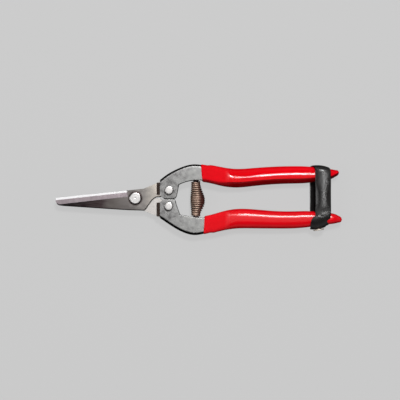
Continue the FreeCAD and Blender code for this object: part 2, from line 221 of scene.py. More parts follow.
def blade_flat():
    """Unground steel of the near blade: near black at the tip, grey round the pivot, pale at the tang, with a
    painted shadow ring round the pivot head and painted shade on its edges.
    """
    s = Shader("near_blade_flat", Metallic=1.0)
    along = s.ranged(s.axis("X"), *BLADE_X, 0, 1)
    cloud = s.noise(5 * MM, (0.6, 1, 1), 4)
    tone = s.math("ADD", along, s.spread(cloud, -0.035, 0.035))
    base = s.ramp(tone, (0.07, (0.008, 0.005, 0.006)), (0.26, (0.018, 0.010, 0.012)),
                  (0.42, (0.050, 0.034, 0.036)), (0.55, (0.127, 0.113, 0.106)), (0.71, (0.16, 0.145, 0.140)),
                  (0.83, (0.25, 0.232, 0.219)), (0.89, (0.40, 0.37, 0.335)), (0.96, (0.52, 0.47, 0.42)))
    lines = s.noise(0.3 * MM, (0.06, 1, 1), 3)
    base = s.mixed(s.ranged(lines, 0.35, 0.65, 0, 0.10), base, (0.30, 0.28, 0.27))
    # A painted shadow ring round the pivot head.
    pivot_shaded = s.mixed(s.near_axis((PIVOT_LOW, PIVOT_HIGH), *PIVOT_SHADE_R), (0.05, 0.035, 0.035), base)
    s.color(s.edge_shaded(pivot_shaded, (0.008, 0.006, 0.006), *METAL_RIM_SHADE))
    s.roughness(s.spread(cloud, 0.30, 0.42))
    s.bump(lines, 0.012 * MM)
    return s.material


def blade_bevel():
    """The ground bevel, with fine grinding lines across it."""
    s = Shader("blade_bevel", Metallic=1.0)
    across = s.noise(0.22 * MM, (1, 0.05, 0.05), 3)
    broad = s.noise(7 * MM, (1, 0.2, 1), 2)
    tone = s.math("ADD", s.spread(across, 0, 0.5), s.spread(broad, 0, 0.5))
    s.color(s.ramp(tone, (0.0, (0.16, 0.137, 0.145)), (0.5, (0.195, 0.166, 0.177)),
                   (1.0, (0.24, 0.206, 0.218))))
    s.roughness(s.spread(across, 0.30, 0.42))
    s.bump(across, 0.008 * MM)
    return s.material


def bright_steel(name, color, roughness, size, rim=None):
    """Polished or satin steel with a faint cloud and fine random scratches.
    size is the cloud's, and rim the colour of the painted shade on its round edges."""
    s = Shader(name, Metallic=1.0)
    cloud = s.noise(size, (1, 1, 1), 5, 0.6)
    scratch = s.noise(0.18 * MM, (1, 0.12, 1), 4)
    worn = tuple(c * 0.9 for c in color)
    base = s.mixed(s.ranged(cloud, 0.4, 0.75, 0, 1), color, worn)
    s.color(s.edge_shaded(base, rim) if rim else base)
    s.roughness(s.spread(scratch, roughness * 0.9, roughness * 1.2))
    s.bump(scratch, 0.003 * MM)
    return s.material


def pressed_steel():
    """Bare sheet of the handles: satin and mottled, paler near the grips as a painted reflection, with
    painted shade on its edges.
    """
    s = Shader("pressed_steel_sheet", Metallic=1.0)
    cloud = s.noise(3.4 * MM, (1, 1, 1), 6, 0.62)
    grain = s.noise(0.35 * MM, (0.5, 1, 1), 4)
    # Painted reflection: the sheet gets paler towards the grips.
    along = s.ranged(s.axis("X"), *SHEET_SHEEN_X, 0, 0.42)
    tone = s.math("ADD", along, s.spread(cloud, -0.06, 0.64))
    tone = s.math("ADD", tone, s.spread(grain, -0.08, 0.08))
    base = s.ramp(tone, (0.0, (0.09, 0.088, 0.088)), (0.3, (0.215, 0.212, 0.21)), (0.6, (0.28, 0.28, 0.275)),
                  (1.0, (0.345, 0.345, 0.335)))
    s.color(s.edge_shaded(base, RIM_SHADE_BLACK, *SHEET_RIM_SHADE))
    s.roughness(s.spread(cloud, 0.42, 0.55))
    s.bump(grain, 0.015 * MM)
    s.bump(cloud, 0.04 * MM)
    return s.material


def red_vinyl(name, smooth, worn, level, shade_share):
    """Dipped vinyl: deep red, glossy, with the faint orange peel of a dip, and satin near its front end.
    smooth and worn are its roughness, and level its specular level.
    The last argument is the share of the colour left on the side facing -Y, as painted shade."""
    s = Shader(name, IOR=1.46, Specular_IOR_Level=level)
    cloud = s.noise(9 * MM, (0.5, 1, 1), 2)
    base = s.ramp(cloud, (0.3, (0.68, 0.0, 0.004)), (0.7, (0.78, 0.0, 0.007)))
    # Painted shade on the side facing -Y.
    turned = s.ranged(s.normal("Y"), *PAINTED_SHADE_Y, shade_share, 1)
    s.color(s.mixed(1.0, base, turned, "MULTIPLY"))
    peel = s.noise(1.6 * MM, (0.6, 1, 1), 2)
    satin = s.ranged(s.axis("X"), *SATIN_X, SATIN, 0)
    s.roughness(s.math("ADD", s.spread(peel, smooth, worn), satin))
    s.bump(peel, 0.002 * MM)
    return s.material


def spring_wire():
    """Copper-brown drawn wire, with painted shade and a painted red reflection on its side towards the grips.
    """
    s = Shader("spring_wire", Metallic=1.0)
    cloud = s.noise(1.5 * MM, (1, 1, 1), 4)
    base = s.ramp(cloud, (0.3, (0.36, 0.25, 0.196)), (0.7, (0.48, 0.35, 0.28)))
    # Painted shade and red reflection towards the grips.
    s.color(s.mixed(s.ranged(s.axis("X"), *WIRE_SHADE_X, 0, WIRE_SHADE_SHARE), base, (0.13, 0.035, 0.03)))
    s.roughness(s.spread(cloud, 0.50, 0.60))
    s.bump(s.noise(0.12 * MM, (1, 1, 1), 2), 0.004 * MM)
    return s.material


def strap_leather(name, low, high, roughness, level=0.5):
    """Black dyed leather: pebbled grain, a soft sheen and a few pull creases. level is its specular level."""
    s = Shader(name, IOR=1.5, Specular_IOR_Level=level)
    cells = s.node("ShaderNodeTexVoronoi", feature="DISTANCE_TO_EDGE")
    pebble_size = 0.55 * MM
    cells.inputs["Scale"].default_value = 1 / pebble_size
    s.link(s.place(), cells.inputs["Vector"])
    pebble = s.ranged(cells.outputs["Distance"], 0.0, 0.25, 0, 1)
    cloud = s.noise(5 * MM, (1, 0.5, 1), 3)
    s.color(s.ramp(cloud, (0.3, low), (0.75, high)))
    s.roughness(s.spread(cloud, roughness * 0.85, roughness * 1.15))
    s.bump(pebble, 0.008 * MM)
    s.bump(s.noise(2.2 * MM, (1, 0.25, 1), 3), 0.02 * MM)
    return s.material


# ---------------------------------------------------------------- mesh helpers

WELD = 0.002 * MM    # CAD points nearer than this are one
FLAT = 0.5           # degrees: CAD faces that turn less than this are one
ROUNDED = 28         # degrees: edges that turn more than this are rounded
SMOOTH = 35          # degrees: edges that turn less than this are shaded smooth


def mesh_object(name, verts, faces, material):
    """A smooth piece from points and faces, with its faces turned outwards."""
    mesh = bpy.data.meshes.new(name)
    mesh.from_pydata([tuple(v) for v in verts], [], faces)
    mesh.validate()
    bm = bmesh.new()
    bm.from_mesh(mesh)
    bmesh.ops.recalc_face_normals(bm, faces=bm.faces)
    bm.to_mesh(mesh)
    bm.free()
    mesh.polygons.foreach_set("use_smooth", [True] * len(mesh.polygons))
    piece = bpy.data.objects.new(name, mesh)
    piece.data.materials.append(material)
    bpy.context.collection.objects.link(piece)
    return piece


def grid_faces(rows, columns, wrap_rows=False):
    """Faces of a tube of rows rings, each a closed ring of columns points."""
    last = rows if wrap_rows else rows - 1
    return [(r * columns + c, r * columns + (c + 1) % columns,
             (r + 1) % rows * columns + (c + 1) % columns, (r + 1) % rows * columns + c)
            for r in range(last) for c in range(columns)]


def capped(verts, rows, columns):
    """The tube's faces, with a fan to a middle point at each end."""
    faces = grid_faces(rows, columns)
    for first in (0, (rows - 1) * columns):
        ring = verts[first:first + columns]
        middle = len(verts)
        verts.append(sum(ring, Vector()) / columns)
        faces += [(first + c, first + (c + 1) % columns, middle) for c in range(columns)]
    return faces


def subdivided(piece):
    modifier = piece.modifiers.new("subdivision", "SUBSURF")
    modifier.levels = modifier.render_levels = 1
    applied(piece)
    return piece


def applied(piece):
    """Bakes the modifiers into the mesh."""
    graph = bpy.context.evaluated_depsgraph_get()
    mesh = bpy.data.meshes.new_from_object(piece.evaluated_get(graph))
    piece.modifiers.clear()
    piece.data = mesh


def finished(piece, body, slot, *nodes):
    """The piece rides on a body, in place of CAD nodes. slot is not used."""
    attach(piece, body)
    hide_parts(*nodes)


def edged(node, width, body, slot, materials, pick=None, keep=None, move=None, clamp=True):
    """A copy of a CAD node with its sharp edges broken by a small round.
    pick chooses a face's material, and keep the edges that are rounded, by their ends.
    move gives a point's new place. clamp holds every round to what the shortest edge has room for."""
    mesh = NODES[node].data.copy()
    mesh.materials.clear()
    bm = bmesh.new()
    bm.from_mesh(mesh)
    bmesh.ops.remove_doubles(bm, verts=bm.verts, dist=WELD)
    bmesh.ops.dissolve_limit(bm, angle_limit=math.radians(FLAT), verts=bm.verts, edges=bm.edges)
    for vert in bm.verts:
        vert.co = move(vert.co) if move else vert.co
    bm.normal_update()
    sharp = [e for e in bm.edges if len(e.link_faces) == 2
             and e.calc_face_angle(0) > math.radians(ROUNDED)
             and (keep is None or keep(e.verts[0].co, e.verts[1].co))]
    bmesh.ops.bevel(bm, geom=sharp, offset=width, segments=2, profile=0.5, affect="EDGES",
                    clamp_overlap=clamp)
    bmesh.ops.triangulate(bm, faces=[f for f in bm.faces if len(f.verts) > 4])
    bm.normal_update()
    for face in bm.faces:
        face.smooth = True
        face.material_index = pick(face) if pick else 0
    for edge in bm.edges:
        sides = edge.link_faces
        edge.smooth = (len(sides) == 2 and edge.calc_face_angle(0) < math.radians(SMOOTH)
                       and sides[0].material_index == sides[1].material_index)
    bm.to_mesh(mesh)
    bm.free()
    piece = bpy.data.objects.new(node + "_piece", mesh)
    for material in materials:
        mesh.materials.append(material)
    bpy.context.collection.objects.link(piece)
    weighted = piece.modifiers.new("weighted", "WEIGHTED_NORMAL")
    weighted.keep_sharp = True
    applied(piece)
    finished(piece, body, slot, node)


# ---------------------------------------------------------------- grips

VINYL = 1.0 * MM                # the dip's thickness
RING = 56                       # points round a grip
SQUARE = 4.2                    # how square a grip's section is at its front end
# The rolled front lip: mm behind the front end, and the share of the dip's thickness there.
LIP = [(0.0, 0.05), (0.08, 0.45), (0.25, 0.75), (0.55, 0.95), (1.0, 1.04), (1.7, 1.02), (2.6, 1.0)]
BODY_MARGINS = (3.4 * MM, 4.2 * MM)  # the even rings start and stop this far from the grip's ends
BODY_RINGS = 60
NOSE = (3.6, 3.0, 2.5, 2.0, 1.6, 1.2, 0.85, 0.55, 0.3, 0.12, 0.03)  # mm from the nose's rings to the tip
NOSE_R = 2.2 * MM               # the nose rounds off over this length
NOSE_THIN = 6 * MM              # the grip gets lower over this length
TAPERED, BLUNT = 0.55, 0.25     # shares of its height kept at the tip, over NOSE_THIN and over NOSE_R
LAST = 0.8 * MM                 # the CAD grip's walls are read up to here from its tip
BARE_D = 5                      # mm: the handle's channel is read up to here, and the CAD grip behind it
FLANGE_Z, FRONT_Z = 3 * MM, 4 * MM  # above the middle plane: the channel and the grip's front are read there
FRONT_SPAN = 0.35               # the front's slant is read this share of the grip's width from its middle
CHANNEL_Z, DIP_Z, SWELL_Z = 3.62, 0.95, 0.75  # mm: the channel's half height, the dip on it, and the swell
SWELL_D, RIDGE_D, POWER_D, SLANT_D = (6, 24), (4, 20), (6, 22), (3, 16)  # mm behind the front end
THIN_X = (35 * MM, 73 * MM)     # the swell goes away again between these


def tree_of(node):
    """A CAD node's surface, to aim rays at."""
    mesh = NODES[node].data
    points = [v.co.copy() for v in mesh.vertices]
    return BVHTree.FromPolygons(points, [tuple(p.vertices) for p in mesh.polygons])


def hit(tree, start, direction):
    return tree.ray_cast(Vector(start), Vector(direction))[0]


def walls(tree, x, lift=0.0):
    """The lowest and highest Y of a node at x, lift above the blade plane."""
    low = hit(tree, (x, -1, MID + lift), (0, 1, 0))
    high = hit(tree, (x, 1, MID + lift), (0, -1, 0))
    return low.y, high.y


def eased(value, low, high):
    """0 below low and 1 above high, with a smooth step between."""
    t = min(1.0, max(0.0, (value - low) / (high - low)))
    return t * t * (3 - 2 * t)


def section(x_at, low, high, half, powers, crest):
    """A ring across X: two half ovals that meet at the crest, a share of the half width towards +Y.
    x_at gives X for a Y. powers shape the -Y and the +Y half: 2 is round, more squarer and less flatter."""
    middle, width = (low + high) / 2, (high - low) / 2
    ring = []
    for step in range(RING):
        turn = 2 * math.pi * step / RING
        side, up = math.cos(turn), math.sin(turn)
        reach, power = (1 - crest, powers[1]) if side > 0 else (1 + crest, powers[0])
        y = middle + width * (crest + math.copysign(abs(side) ** (2 / power), side) * reach)
        z = half * math.copysign(abs(up) ** (2 / power), up)
        ring.append(Vector((x_at(y), y, MID + z)))
    return ring


def grip(name, handle, crest, round_powers, material, body):
    """The dipped grip: a rolled lip at the front, a ridge along the grip, and a bullet nose."""
    shell, channel = tree_of(name), tree_of(handle)
    low_corner, high_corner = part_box(name)
    tip = high_corner.x
    wall = walls(shell, low_corner.x + 3 * MM)
    centre, width = (wall[0] + wall[1]) / 2, (wall[1] - wall[0]) / 2
    ahead = low_corner.x - 10 * MM
    span = (centre - FRONT_SPAN * width, centre + FRONT_SPAN * width)
    edge = [hit(shell, (ahead, y, MID + FRONT_Z), (1, 0, 0)).x for y in span]
    slant = (edge[1] - edge[0]) / (span[1] - span[0])
    start = (edge[0] + edge[1]) / 2
    body_start, body_end = start + BODY_MARGINS[0], tip - BODY_MARGINS[1]
    body_x = [body_start + (body_end - body_start) * i / BODY_RINGS for i in range(BODY_RINGS + 1)]
    nose_x = [tip - d * MM for d in NOSE]
    rings = LIP + [((x - start) / MM, 1.0) for x in body_x + nose_x]
    verts = []
    for d, share in rings:
        x = start + d * MM
        lean = slant * (1 - eased(d, *SLANT_D))
        if d < BARE_D:
            sides = walls(channel, x, FLANGE_Z)
            low, high = sides[0] - VINYL * share, sides[1] + VINYL * share
        else:
            low, high = walls(shell, min(x, tip - LAST))
        to_tip = tip - x
        to_nose = 1 - eased(-to_tip, -NOSE_THIN, 0)
        swell = SWELL_Z * (eased(d, *SWELL_D) - eased(x, *THIN_X))
        half = (CHANNEL_Z + DIP_Z * share + swell) * MM
        half *= TAPERED + (1 - TAPERED) * to_nose
        if to_tip < NOSE_R:
            shrink = math.sqrt(max(0.0, 1 - (1 - to_tip / NOSE_R) ** 2))
            full_low, full_high = walls(shell, tip - NOSE_R)
            peak = sum(walls(shell, tip - LAST)) / 2
            middle = peak + ((full_low + full_high) / 2 - peak) * to_tip / NOSE_R
            reach = (full_high - full_low) / 2 * shrink
            low, high = middle - reach, middle + reach
            half *= BLUNT + (1 - BLUNT) * shrink
        ridge = crest * eased(d, *RIDGE_D) * to_nose
        powers = [SQUARE + (power - SQUARE) * eased(d, *POWER_D) for power in round_powers]
        verts += section(lambda y: x + lean * (y - centre), low, high, half, powers, ridge)
    piece = mesh_object(name + "_dip", verts, capped(verts, len(rings), RING), material)
    subdivided(piece)
    finished(piece, body, "red_vinyl", name)


# ---------------------------------------------------------------- return spring

WIRE = 1.2 * MM                   # the wire's diameter
COIL_R = (3.05 * MM, 4.85 * MM)   # the coil's outer radius at its ends and at its widest
TURNS, TURN_STEPS, WIRE_SIDES = 18, 30, 12
BOW = 1.25 * MM                   # how far the widest turns stand out towards the grips
BUNCH = 0.012                     # how far the pitch strays, as a share of the length
SWELL, WANE = (0.03, 0.38), (0.48, 0.97)  # where the barrel widens and narrows, as shares of the length


def return_spring(material):
    """The barrel coil: close turns, narrow dead ends, bowed a little towards the handle ends."""
    low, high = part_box("return_spring")
    x0 = (low.x + high.x) / 2
    path = []
    count = TURNS * TURN_STEPS
    for i in range(count + 1):
        t = i / count
        turn = 2 * math.pi * TURNS * t
        y = low.y + WIRE / 2 + (high.y - low.y - WIRE) * (t - BUNCH * math.sin(4 * math.pi * t))
        swell = eased(t, *SWELL) * (1 - eased(t, *WANE))
        radius = COIL_R[0] - WIRE / 2 + (COIL_R[1] - COIL_R[0]) * swell
        path.append(Vector((x0 + BOW * swell + radius * math.cos(turn), y, MID + radius * math.sin(turn))))
    verts = []
    for i, point in enumerate(path):
        ahead = (path[min(i + 1, count)] - path[max(i - 1, 0)]).normalized()
        outward = Vector((point.x - x0, 0, point.z - MID)).normalized()
        outward = (outward - ahead * outward.dot(ahead)).normalized()
        other = ahead.cross(outward)
        verts += [point + (outward * math.cos(a) + other * math.sin(a)) * WIRE / 2
                  for a in (2 * math.pi * k / WIRE_SIDES for k in range(WIRE_SIDES))]
    piece = mesh_object("return_spring_coil", verts, capped(verts, count + 1, WIRE_SIDES), material)
    finished(piece, "lower_half", "spring_steel", "return_spring")
    piece.parent = None
    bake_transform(piece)


# ---------------------------------------------------------------- strap

LEATHER = 1.05 * MM
LAPPED = 1.00 * MM       # thickness of either layer where the strap's ends lap
SKIVED = 0.55 * MM       # the same at the tongue's tip
STRAP_WIDTH = 10.4 * MM
CORNER = 3.0 * MM        # radius of the loop's upper corners
FOOT = (7.2 * MM, 0.1 * MM)  # the lower corners' height, and half of the flat left between them
SLACK = 0.2 * MM         # between the leather and the lower grip
LONG_STEPS, SHORT_STEPS, CORNER_STEPS = 30, 8, 10  # points along the loop's sides, ends and corners
TONGUE_BACK = 18         # the tongue runs from this many points before the loop's start
TONGUE_FRONT = 1         # to this many after it
TIP_STEPS = 5.5          # the tongue's tip is rounded over this many points
SKEW = 0.3               # how far the loop leans along X, for each unit of depth
CURL = 0.7 * MM          # how far the strap's edges bend in where it hangs free
FREE_Y = (-9 * MM, -2 * MM, 4 * MM, 12 * MM)  # free between the middle two, flat beyond the outer two
PROBES = (0.35, 0.65)    # shares of the CAD strap's length in X where it is read
LAP_STEPS = (2, 11)      # the lap gets thicker between these many points from the tongue's tip
CLEAR_STEPS = 6          # the loop reaches its full thickness this many points past the lap
DOME, TONGUE_DOME = 0.3 * MM, 0.2 * MM  # how far the grain side stands up in the middle
WAVE = 0.12 * MM         # how far the loop strays from straight
TONGUE_X = 0.1 * MM      # how far the tongue lies off the loop's middle
TIP_WIDTH = 0.18         # share of the width left at the tongue's tip
ACROSS = (-0.95, -0.8, -0.6, -0.4, -0.2, 0, 0.2, 0.4, 0.6, 0.8, 0.95)  # points over the grain side
BACK = (0.94, 0.6, 0.2, -0.2, -0.6, -0.94)  # points over the raw side
INNER_COLUMNS = (14, 19)  # the raw side's points, counted round the section


class StrapPath:
    """The loop's inner face round both grips, read from the CAD strap."""

    def __init__(self):
        loop, grip_shell = tree_of("strap_loop"), tree_of("lower_grip")
        low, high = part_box("strap_loop")
        self.x_low = low.x
        self.half = (high.z - low.z) / 2 - LEATHER
        self.hinge_y = low.y
        probes = [low.x + f * (high.x - low.x) for f in PROBES]
        tops = [hit(loop, (x, 1, MID), (0, -1, 0)).y for x in probes]
        self.top = probes[0], tops[0], (tops[1] - tops[0]) / (probes[1] - probes[0])
        bottoms = [hit(grip_shell, (x, -1, MID), (0, 1, 0)).y - SLACK - LEATHER for x in probes]
        self.bottom = probes[0], bottoms[0], (bottoms[1] - bottoms[0]) / (probes[1] - probes[0])

    def sides(self, x):
        """The inner face's lowest and highest Y at x."""
        (x0, y0, k0), (x1, y1, k1) = self.bottom, self.top
        return y0 + k0 * (x - x0) + LEATHER, y1 + k1 * (x - x1) - LEATHER

    def outline(self, x):
        """Points round the inner face's section at x, each with its outward direction, from the -Y end
        of the side that faces up."""
        low, high = self.sides(x)
        h = self.half
        top, foot = (CORNER, CORNER), (FOOT[0], h - FOOT[1])
        corners = [((high - top[0], h - top[1]), top), ((high - top[0], top[1] - h), top),
                   ((low + foot[0], foot[1] - h), foot), ((low + foot[0], h - foot[1]), foot)]
        straight = [((low + foot[0], h), (high - top[0], h), LONG_STEPS),
                    ((high, h - top[1]), (high, top[1] - h), SHORT_STEPS),
                    ((high - top[0], -h), (low + foot[0], -h), LONG_STEPS),
                    ((low, foot[1] - h), (low, h - foot[1]), SHORT_STEPS)]
        found = []
        for (a, b, count), (centre, (ry, rz)), quarter in zip(straight, corners, range(4)):
            facing = math.pi / 2 * (1 - quarter)
            for i in range(count):
                t = i / count
                found.append((a[0] + (b[0] - a[0]) * t, a[1] + (b[1] - a[1]) * t, facing))
            for i in range(CORNER_STEPS):
                angle = facing - math.pi / 2 * i / CORNER_STEPS
                out = math.atan2(math.sin(angle) / rz, math.cos(angle) / ry)
                found.append((centre[0] + ry * math.cos(angle), centre[1] + rz * math.sin(angle), out))
        return found


def lap_thickness(index, total):
    """The thickness of either layer where the ends lap: thinner towards the tongue's tip."""
    to_tip = min(abs(index - TONGUE_FRONT), abs(index - TONGUE_FRONT - total))
    return SKIVED + (LAPPED - SKIVED) * eased(to_tip, *LAP_STEPS)


def strap_section(width, thick, dome, curl=0.0):
    """(across, out) points round the leather's section: a domed outer face and thin, soft edges.
    curl is how far the edges of both faces bend in."""
    half = width / 2
    thin = thick * 0.45

    def lifted(a, out):
        return half * a, out - curl * a * a

    outer = [lifted(a, thin + (thick - thin + dome) * (1 - a * a)) for a in ACROSS]
    inner = [lifted(a, 0.0) for a in BACK]
    right = [lifted(0.985, thin * 0.85), lifted(1.0, thin * 0.5), lifted(0.98, thin * 0.12)]
    left = [(-x, y) for x, y in reversed(right)]
    return outer + right + inner + left


def strap_band(path, indices, centre_x, section_at, offset, name, materials, closed):
    """A leather band along the loop. centre_x and section_at take a share of the way along it and an index
    into the loop's points, and offset takes the index. materials are for the grain side and the raw side."""
    verts = []
    count = len(indices)
    for k, index in enumerate(indices):
        share = k / count
        for across, out in section_at(share, index):
            x = centre_x(share, index) + across
            ring = path.outline(x)
            y, z, facing = ring[index % len(ring)]
            out += offset(index)
            verts.append(Vector((x, y + out * math.cos(facing), MID + z + out * math.sin(facing))))
    columns = len(verts) // count
    faces = grid_faces(count, columns, True) if closed else capped(verts, count, columns)
    piece = mesh_object(name, verts, faces, materials[0])
    piece.data.materials.append(materials[1])
    for polygon in piece.data.polygons:
        first = min(v % columns for v in polygon.vertices)
        last = max(v % columns for v in polygon.vertices)
        polygon.material_index = int(INNER_COLUMNS[0] <= first and last <= INNER_COLUMNS[1])
    return subdivided(piece)


def strap(path, materials):
    """The loop round both grips."""
    ring = path.outline(path.x_low)
    total = len(ring)
    first = path.x_low + SKEW * (path.half + LEATHER)

    def loop_centre(share, index):
        wave = WAVE * math.sin(9 * share + 1)
        return first + STRAP_WIDTH / 2 + SKEW * ring[index][1] + wave

    def loop_section(_, index):
        y = ring[index][0]
        free = eased(y, *FREE_Y[:2]) * (1 - eased(y, *FREE_Y[2:]))
        clear = index - TONGUE_FRONT if index < total // 2 else total - TONGUE_BACK - index
        lapped = lap_thickness(index, total)
        thick = lapped + (LEATHER - lapped) * eased(clear, 0, CLEAR_STEPS)
        return strap_section(STRAP_WIDTH, thick, DOME, CURL * free)

    loop = strap_band(path, range(total), loop_centre, loop_section, lambda index: 0.0,
                      "strap_band", materials, True)
    finished(loop, "lower_half", "strap_leather", "strap_loop", "strap_wrap")
    loop.parent = None
    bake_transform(loop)
    return loop


def strap_tongue(path, materials):
    """The strap's end, lapped over its start on the lower grip's outer side, with a rounded tip in front."""
    total = len(path.outline(path.x_low))
    indices = list(range(total - TONGUE_BACK, total)) + list(range(TONGUE_FRONT))
    centre = path.x_low + STRAP_WIDTH / 2 + TONGUE_X

    def section_at(share, index):
        to_tip = (1 - share) * len(indices)
        width = STRAP_WIDTH
        if to_tip < TIP_STEPS:
            width *= max(TIP_WIDTH, math.sqrt(max(0.0, 1 - ((TIP_STEPS - to_tip) / TIP_STEPS) ** 2)))
        return strap_section(width, lap_thickness(index, total), TONGUE_DOME)

    piece = strap_band(path, indices, lambda share, index: centre, section_at,
                       lambda index: lap_thickness(index, total), "strap_tongue", materials, False)
    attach(piece, "lower_half")
    return piece


# ---------------------------------------------------------------- metal parts

TURNED_COLUMNS = 64
TURNED_SHARP = 50               # degrees: a turned piece's edges are sharp above this
GROUND_END = -47.2 * MM         # the near blade is ground ahead of this X
SPINE_Y = -3.4 * MM             # the near blade's edges below this Y are its spine's
TANG_CORNER = (-27.4 * MM, 9 * MM)  # the near tang's front corner lies beyond these X and Y
BEVEL_TILT, HONE_TILT = (0.90, 0.975), (0.72, 0.90)  # normal's Z on the bevel and on the honed edge
GROUND_LEAN = 0.2               # normal's Y is at least this on both
TIP_X, TIP_Y = (-60 * MM, -95 * MM), -1.4 * MM  # the tip's spread starts and ends at these X, about this Y
TIP_SPREAD = 0.26               # how much wider the blade is at its very tip
CLOSING = (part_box("upper_handle")[0].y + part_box("lower_handle")[1].y) / 2  # the handles' plates meet here
CLOSING_END = -12 * MM          # the plates lie ahead of this X
CLOSING_REACH, CLOSED_HALF = 0.4 * MM, 0.01 * MM  # points nearer to it than the first go to the second
DIPPED_X = (8 * MM, 22 * MM)    # inside the grips the flanges get narrower between these
DIPPED_SHARE = 0.50             # and by this share
LIP_X, ROUNDED_X = -25.75 * MM, -25.4 * MM  # lips are ahead of the first, and rounds behind the second
TANG_END = -15.2 * MM           # the far tang's rear end
RIVET_FACE, RIVET_FOOT = MID + 3.65 * MM, MID - 4.25 * MM  # the tang rivets' heads and tails sit on these
SHANK_R, TAIL_R = 1.6 * MM, 2.5 * MM


def lathed(name, profile, x, y, material, body, slot, *nodes):
    """A turned piece about the upright line at x, y. The profile is (radius, height) pairs from its top."""
    verts = [Vector((x + r * math.cos(a), y + r * math.sin(a), z)) for r, z in profile
             for a in (2 * math.pi * k / TURNED_COLUMNS for k in range(TURNED_COLUMNS))]
    piece = mesh_object(name, verts, capped(verts, len(profile), TURNED_COLUMNS), material)
    piece.data.set_sharp_from_angle(angle=math.radians(TURNED_SHARP))
    finished(piece, body, slot, *nodes)


def arc_profile(radius, top, rounding, sag):
    """The crown of a rivet head: a flat, slightly domed top that rolls over into its side."""
    found = [(radius * f, top - sag * f * f) for f in (0.02, 0.15, 0.3, 0.45, 0.6)]
    for step in range(7):
        turn = math.pi / 2 * step / 6
        found.append((radius - rounding * (1 - math.sin(turn)),
                      top - sag - rounding * (1 - math.cos(turn))))
    return found


def tang_rivet(node, body, material):
    """The rivet's head and its flat peened tail, as one turned piece."""
    low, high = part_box(node)
    x, y = (low.x + high.x) / 2, (low.y + high.y) / 2
    radius = (high.x - low.x) / 2
    profile = arc_profile(radius, high.z, 0.55 * MM, 0.10 * MM)
    profile += [(radius, RIVET_FACE), (SHANK_R, RIVET_FACE), (SHANK_R, RIVET_FOOT), (TAIL_R, RIVET_FOOT),
                (TAIL_R, RIVET_FOOT - 0.9 * MM), (TAIL_R - 0.15 * MM, low.z + 0.35 * MM),
                (TAIL_R - 0.5 * MM, low.z), (0.1 * MM, low.z)]
    lathed(node + "_turned", profile, x, y, material, body, "rivet_steel", node)


def pivot_rivet(material):
    """The pivot's flat head with a turned ring and a centre mark, its shoulder, and its tail."""
    x, y = (PIVOT_LOW.x + PIVOT_HIGH.x) / 2, (PIVOT_LOW.y + PIVOT_HIGH.y) / 2
    radius = (PIVOT_HIGH.x - PIVOT_LOW.x) / 2
    top, bottom = PIVOT_HIGH.z, PIVOT_LOW.z
    seat, shank, tail = 2.5 * MM, 2.5 * MM, 3.5 * MM
    profile = [(r * MM, top - h * MM) for r, h in (
        (0.05, 0.09), (0.15, 0.085), (0.3, 0.04), (0.45, 0.01), (0.6, 0.0), (1.9, 0.0), (2.1, 0.012),
        (2.3, 0.03), (2.5, 0.03), (2.7, 0.012), (2.9, 0.01), (3.3, 0.03), (3.55, 0.08), (3.74, 0.2),
        (3.86, 0.4))]
    profile += [(radius, top - 0.6 * MM), (radius, MID + seat), (shank, MID + seat), (shank, MID - seat),
                (tail, MID - seat), (tail, MID - seat - 0.8 * MM), (tail - 0.15 * MM, bottom + 0.25 * MM),
                (tail - 0.5 * MM, bottom), (0.1 * MM, bottom)]
    lathed("pivot_rivet_turned", profile, x, y, material, "lower_half", "rivet_steel", "pivot_rivet")


def blade_pick(up):
    """Chooses flat, bevel or honed edge by a face's tilt. up is the sign of Y on the ground side."""
    def pick(face):
        if face.normal.y * up < GROUND_LEAN or face.calc_center_median().x > GROUND_END:
            return 0
        tilt = face.normal.z * up
        if BEVEL_TILT[0] < tilt < BEVEL_TILT[1]:
            return 1
        if HONE_TILT[0] < tilt <= HONE_TILT[1]:
            return 2
        return 0
    return pick


def fuller_tip(co):
    """The near blade is fuller towards its tip: its Y spreads about the tip's middle line."""
    share = min(1.0, max(0.0, (TIP_X[0] - co.x) / (TIP_X[0] - TIP_X[1])))
    return Vector((co.x, TIP_Y + (co.y - TIP_Y) * (1 + TIP_SPREAD * share), co.z))


def near_rim(a, b):
    """The near blade's edges that are rounded: its spine's, and those behind its ground part,
    all but its tang's front corner."""
    if min(a.x, b.x) > TANG_CORNER[0] and min(a.y, b.y) > TANG_CORNER[1]:
        return False
    return min(a.x, b.x) > GROUND_END or max(a.y, b.y) < SPINE_Y


def behind_lips(a, b):
    """The handles' edges that are rounded: all but those at their thin front lips."""
    return min(a.x, b.x) > ROUNDED_X


def handle_shape(co):
    """A handle's flanges draw together inside the grip, and the two plates all but meet when closed."""
    share = 1 - DIPPED_SHARE * eased(co.x, *DIPPED_X)
    y = co.y
    if co.x < CLOSING_END and abs(y - CLOSING) < CLOSING_REACH:
        y = CLOSING + math.copysign(CLOSED_HALF, y - CLOSING)
    return Vector((co.x, y, MID + (co.z - MID) * share))


def lip_pick(face):
    """The handles' front lips take a near-black material: painted shade at the channel's mouth."""
    return int(face.calc_center_median().x < LIP_X)


def tang_end(co):
    """The far tang's rear end stays just inside the lower handle's edge."""
    return Vector((min(co.x, TANG_END), co.y, co.z))


